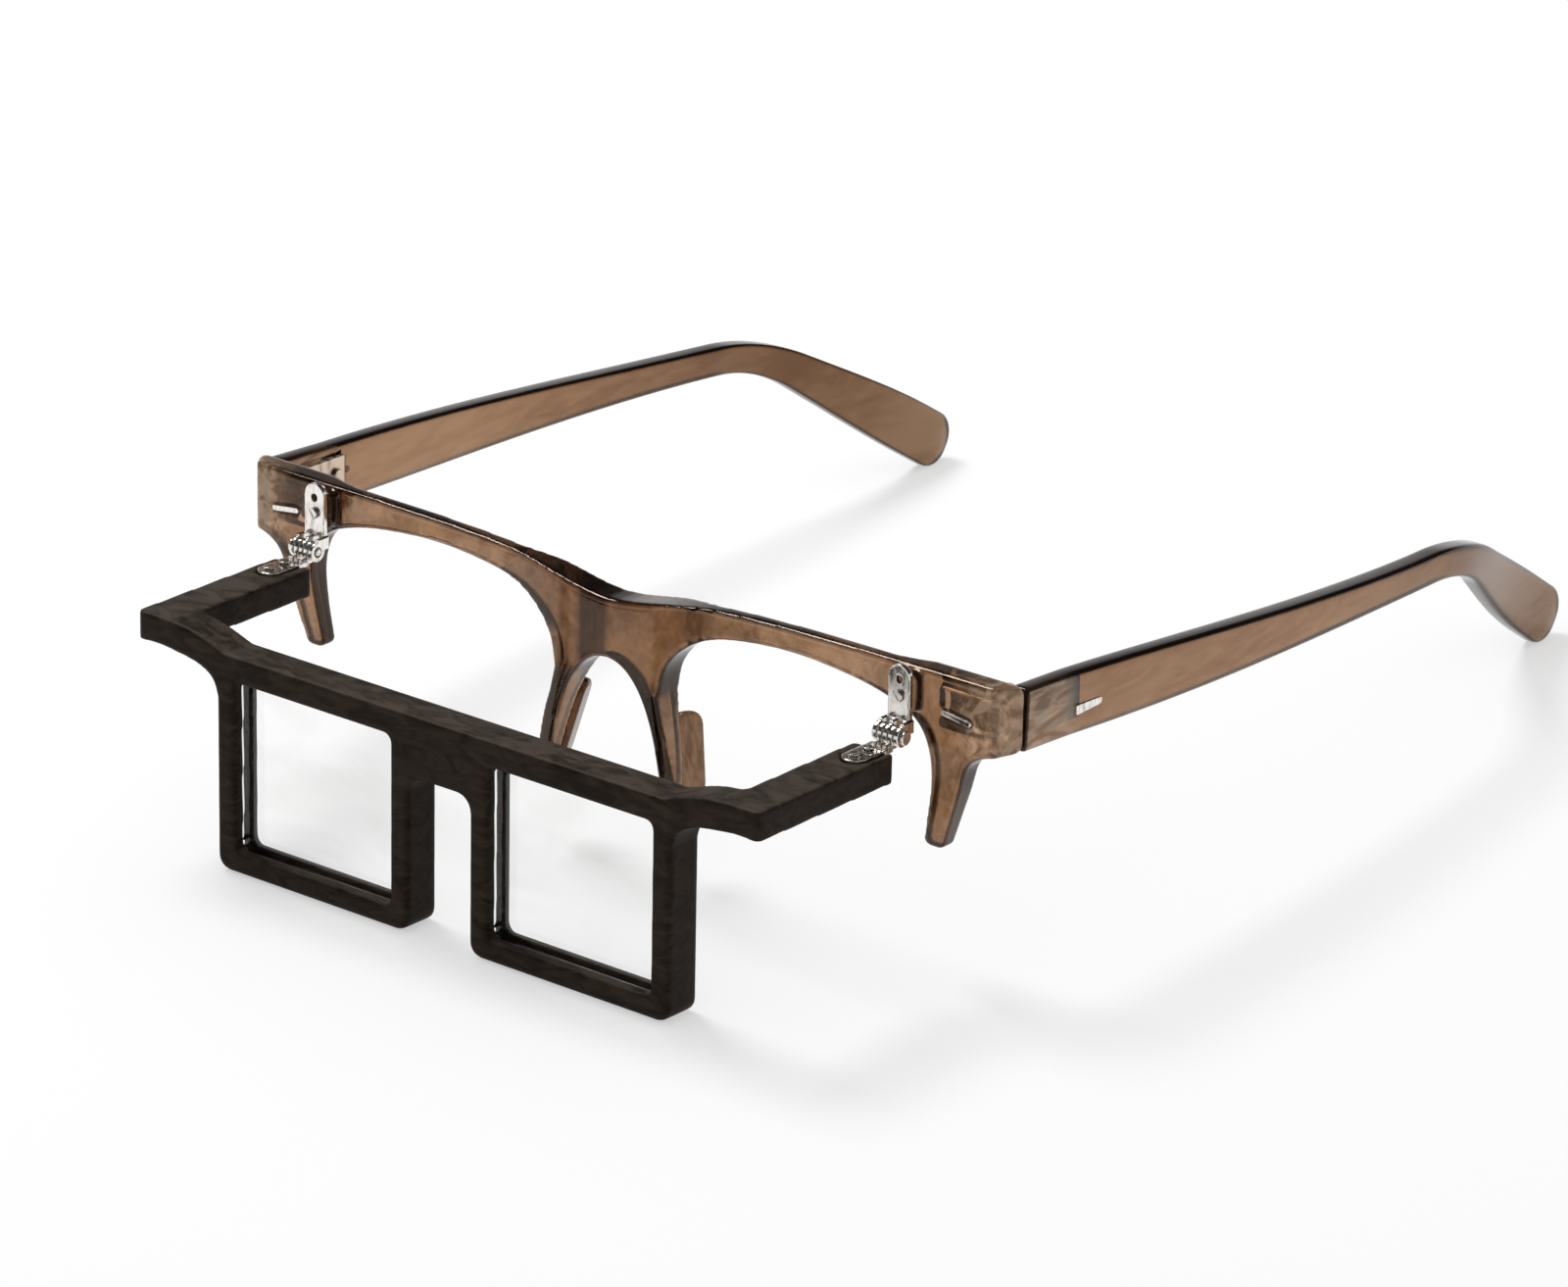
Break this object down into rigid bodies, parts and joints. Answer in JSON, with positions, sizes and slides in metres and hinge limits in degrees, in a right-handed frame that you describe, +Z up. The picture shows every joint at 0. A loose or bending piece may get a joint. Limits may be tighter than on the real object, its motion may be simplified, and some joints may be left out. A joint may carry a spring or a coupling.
{
  "type": "spectacle frame with flip-up lens holder",
  "caption": "Spectacle frame with open-bottomed rims; metal hinges on its front carry a dark holder with flat clear lenses that flips up out of view.",
  "frame": {"origin": "bottom centre of the bounding box, where the lens holder's lower edge and both temple tips stand on one plane", "axes": "+Z up, -Y the way the wearer looks, +X towards the wearer's left side; node names ending in _left are on the -X side, which is the left as seen from the front"},
  "size_m": [0.1456, 0.191, 0.0452],
  "materials": {
    "smoke_plastic": "gloss, smoky translucent brown",
    "pad_plastic": "gloss",
    "holder_plastic": "satin, near black with brush marks",
    "bright_metal": "bright",
    "dark_metal": "satin",
    "clear_lens": "clear, polished"
  },
  "bodies": {
    "spectacle_front": {"flip_hinge_pin_left": "bright_metal", "flip_hinge_pin_right": "bright_metal", "flip_hinge_upper_leaf_left": "bright_metal", "flip_hinge_upper_leaf_right": "bright_metal", "front_bar_left": "bright_metal", "front_bar_right": "bright_metal", "front_frame": "smoke_plastic", "front_leaf_rivet_1_left": "dark_metal", "front_leaf_rivet_1_right": "dark_metal", "front_leaf_rivet_2_left": "dark_metal", "front_leaf_rivet_2_right": "dark_metal", "nose_pad_left": "pad_plastic", "nose_pad_right": "pad_plastic", "temple_hinge_front_leaf_left": "dark_metal", "temple_hinge_front_leaf_right": "dark_metal", "temple_hinge_screw_left": "dark_metal", "temple_hinge_screw_right": "dark_metal", "upper_leaf_screw_left": "bright_metal", "upper_leaf_screw_right": "bright_metal"},
    "flip_holder": {"clear_lens_left": "clear_lens", "clear_lens_right": "clear_lens", "flip_hinge_lower_leaf_left": "bright_metal", "flip_hinge_lower_leaf_right": "bright_metal", "lens_holder_frame": "holder_plastic", "lower_leaf_screw_1_left": "bright_metal", "lower_leaf_screw_1_right": "bright_metal", "lower_leaf_screw_2_left": "bright_metal", "lower_leaf_screw_2_right": "bright_metal"},
    "left_temple": {"rear_leaf_rivet_1_left": "dark_metal", "rear_leaf_rivet_2_left": "dark_metal", "temple_bar_left": "bright_metal", "temple_hinge_rear_leaf_left": "dark_metal", "temple_left": "smoke_plastic"},
    "right_temple": {"rear_leaf_rivet_1_right": "dark_metal", "rear_leaf_rivet_2_right": "dark_metal", "temple_bar_right": "bright_metal", "temple_hinge_rear_leaf_right": "dark_metal", "temple_right": "smoke_plastic"}
  },
  "joints": [
    {"name": "lens_flip", "type": "hinge", "parent": "spectacle_front", "child": "flip_holder", "pos_m": [0, -0.06137, 0.03558], "axis": [-1, 0, 0], "range_deg": [0, 90]},
    {"name": "left_temple_fold", "type": "hinge", "parent": "spectacle_front", "child": "left_temple", "pos_m": [-0.06605, -0.04992, 0.0385], "axis": [0, -0.0464, -0.9989], "range_deg": [0, 87]},
    {"name": "right_temple_fold", "type": "hinge", "parent": "spectacle_front", "child": "right_temple", "pos_m": [0.06605, -0.04992, 0.0385], "axis": [0, 0.0464, 0.9989], "range_deg": [0, 68]}
  ]
}
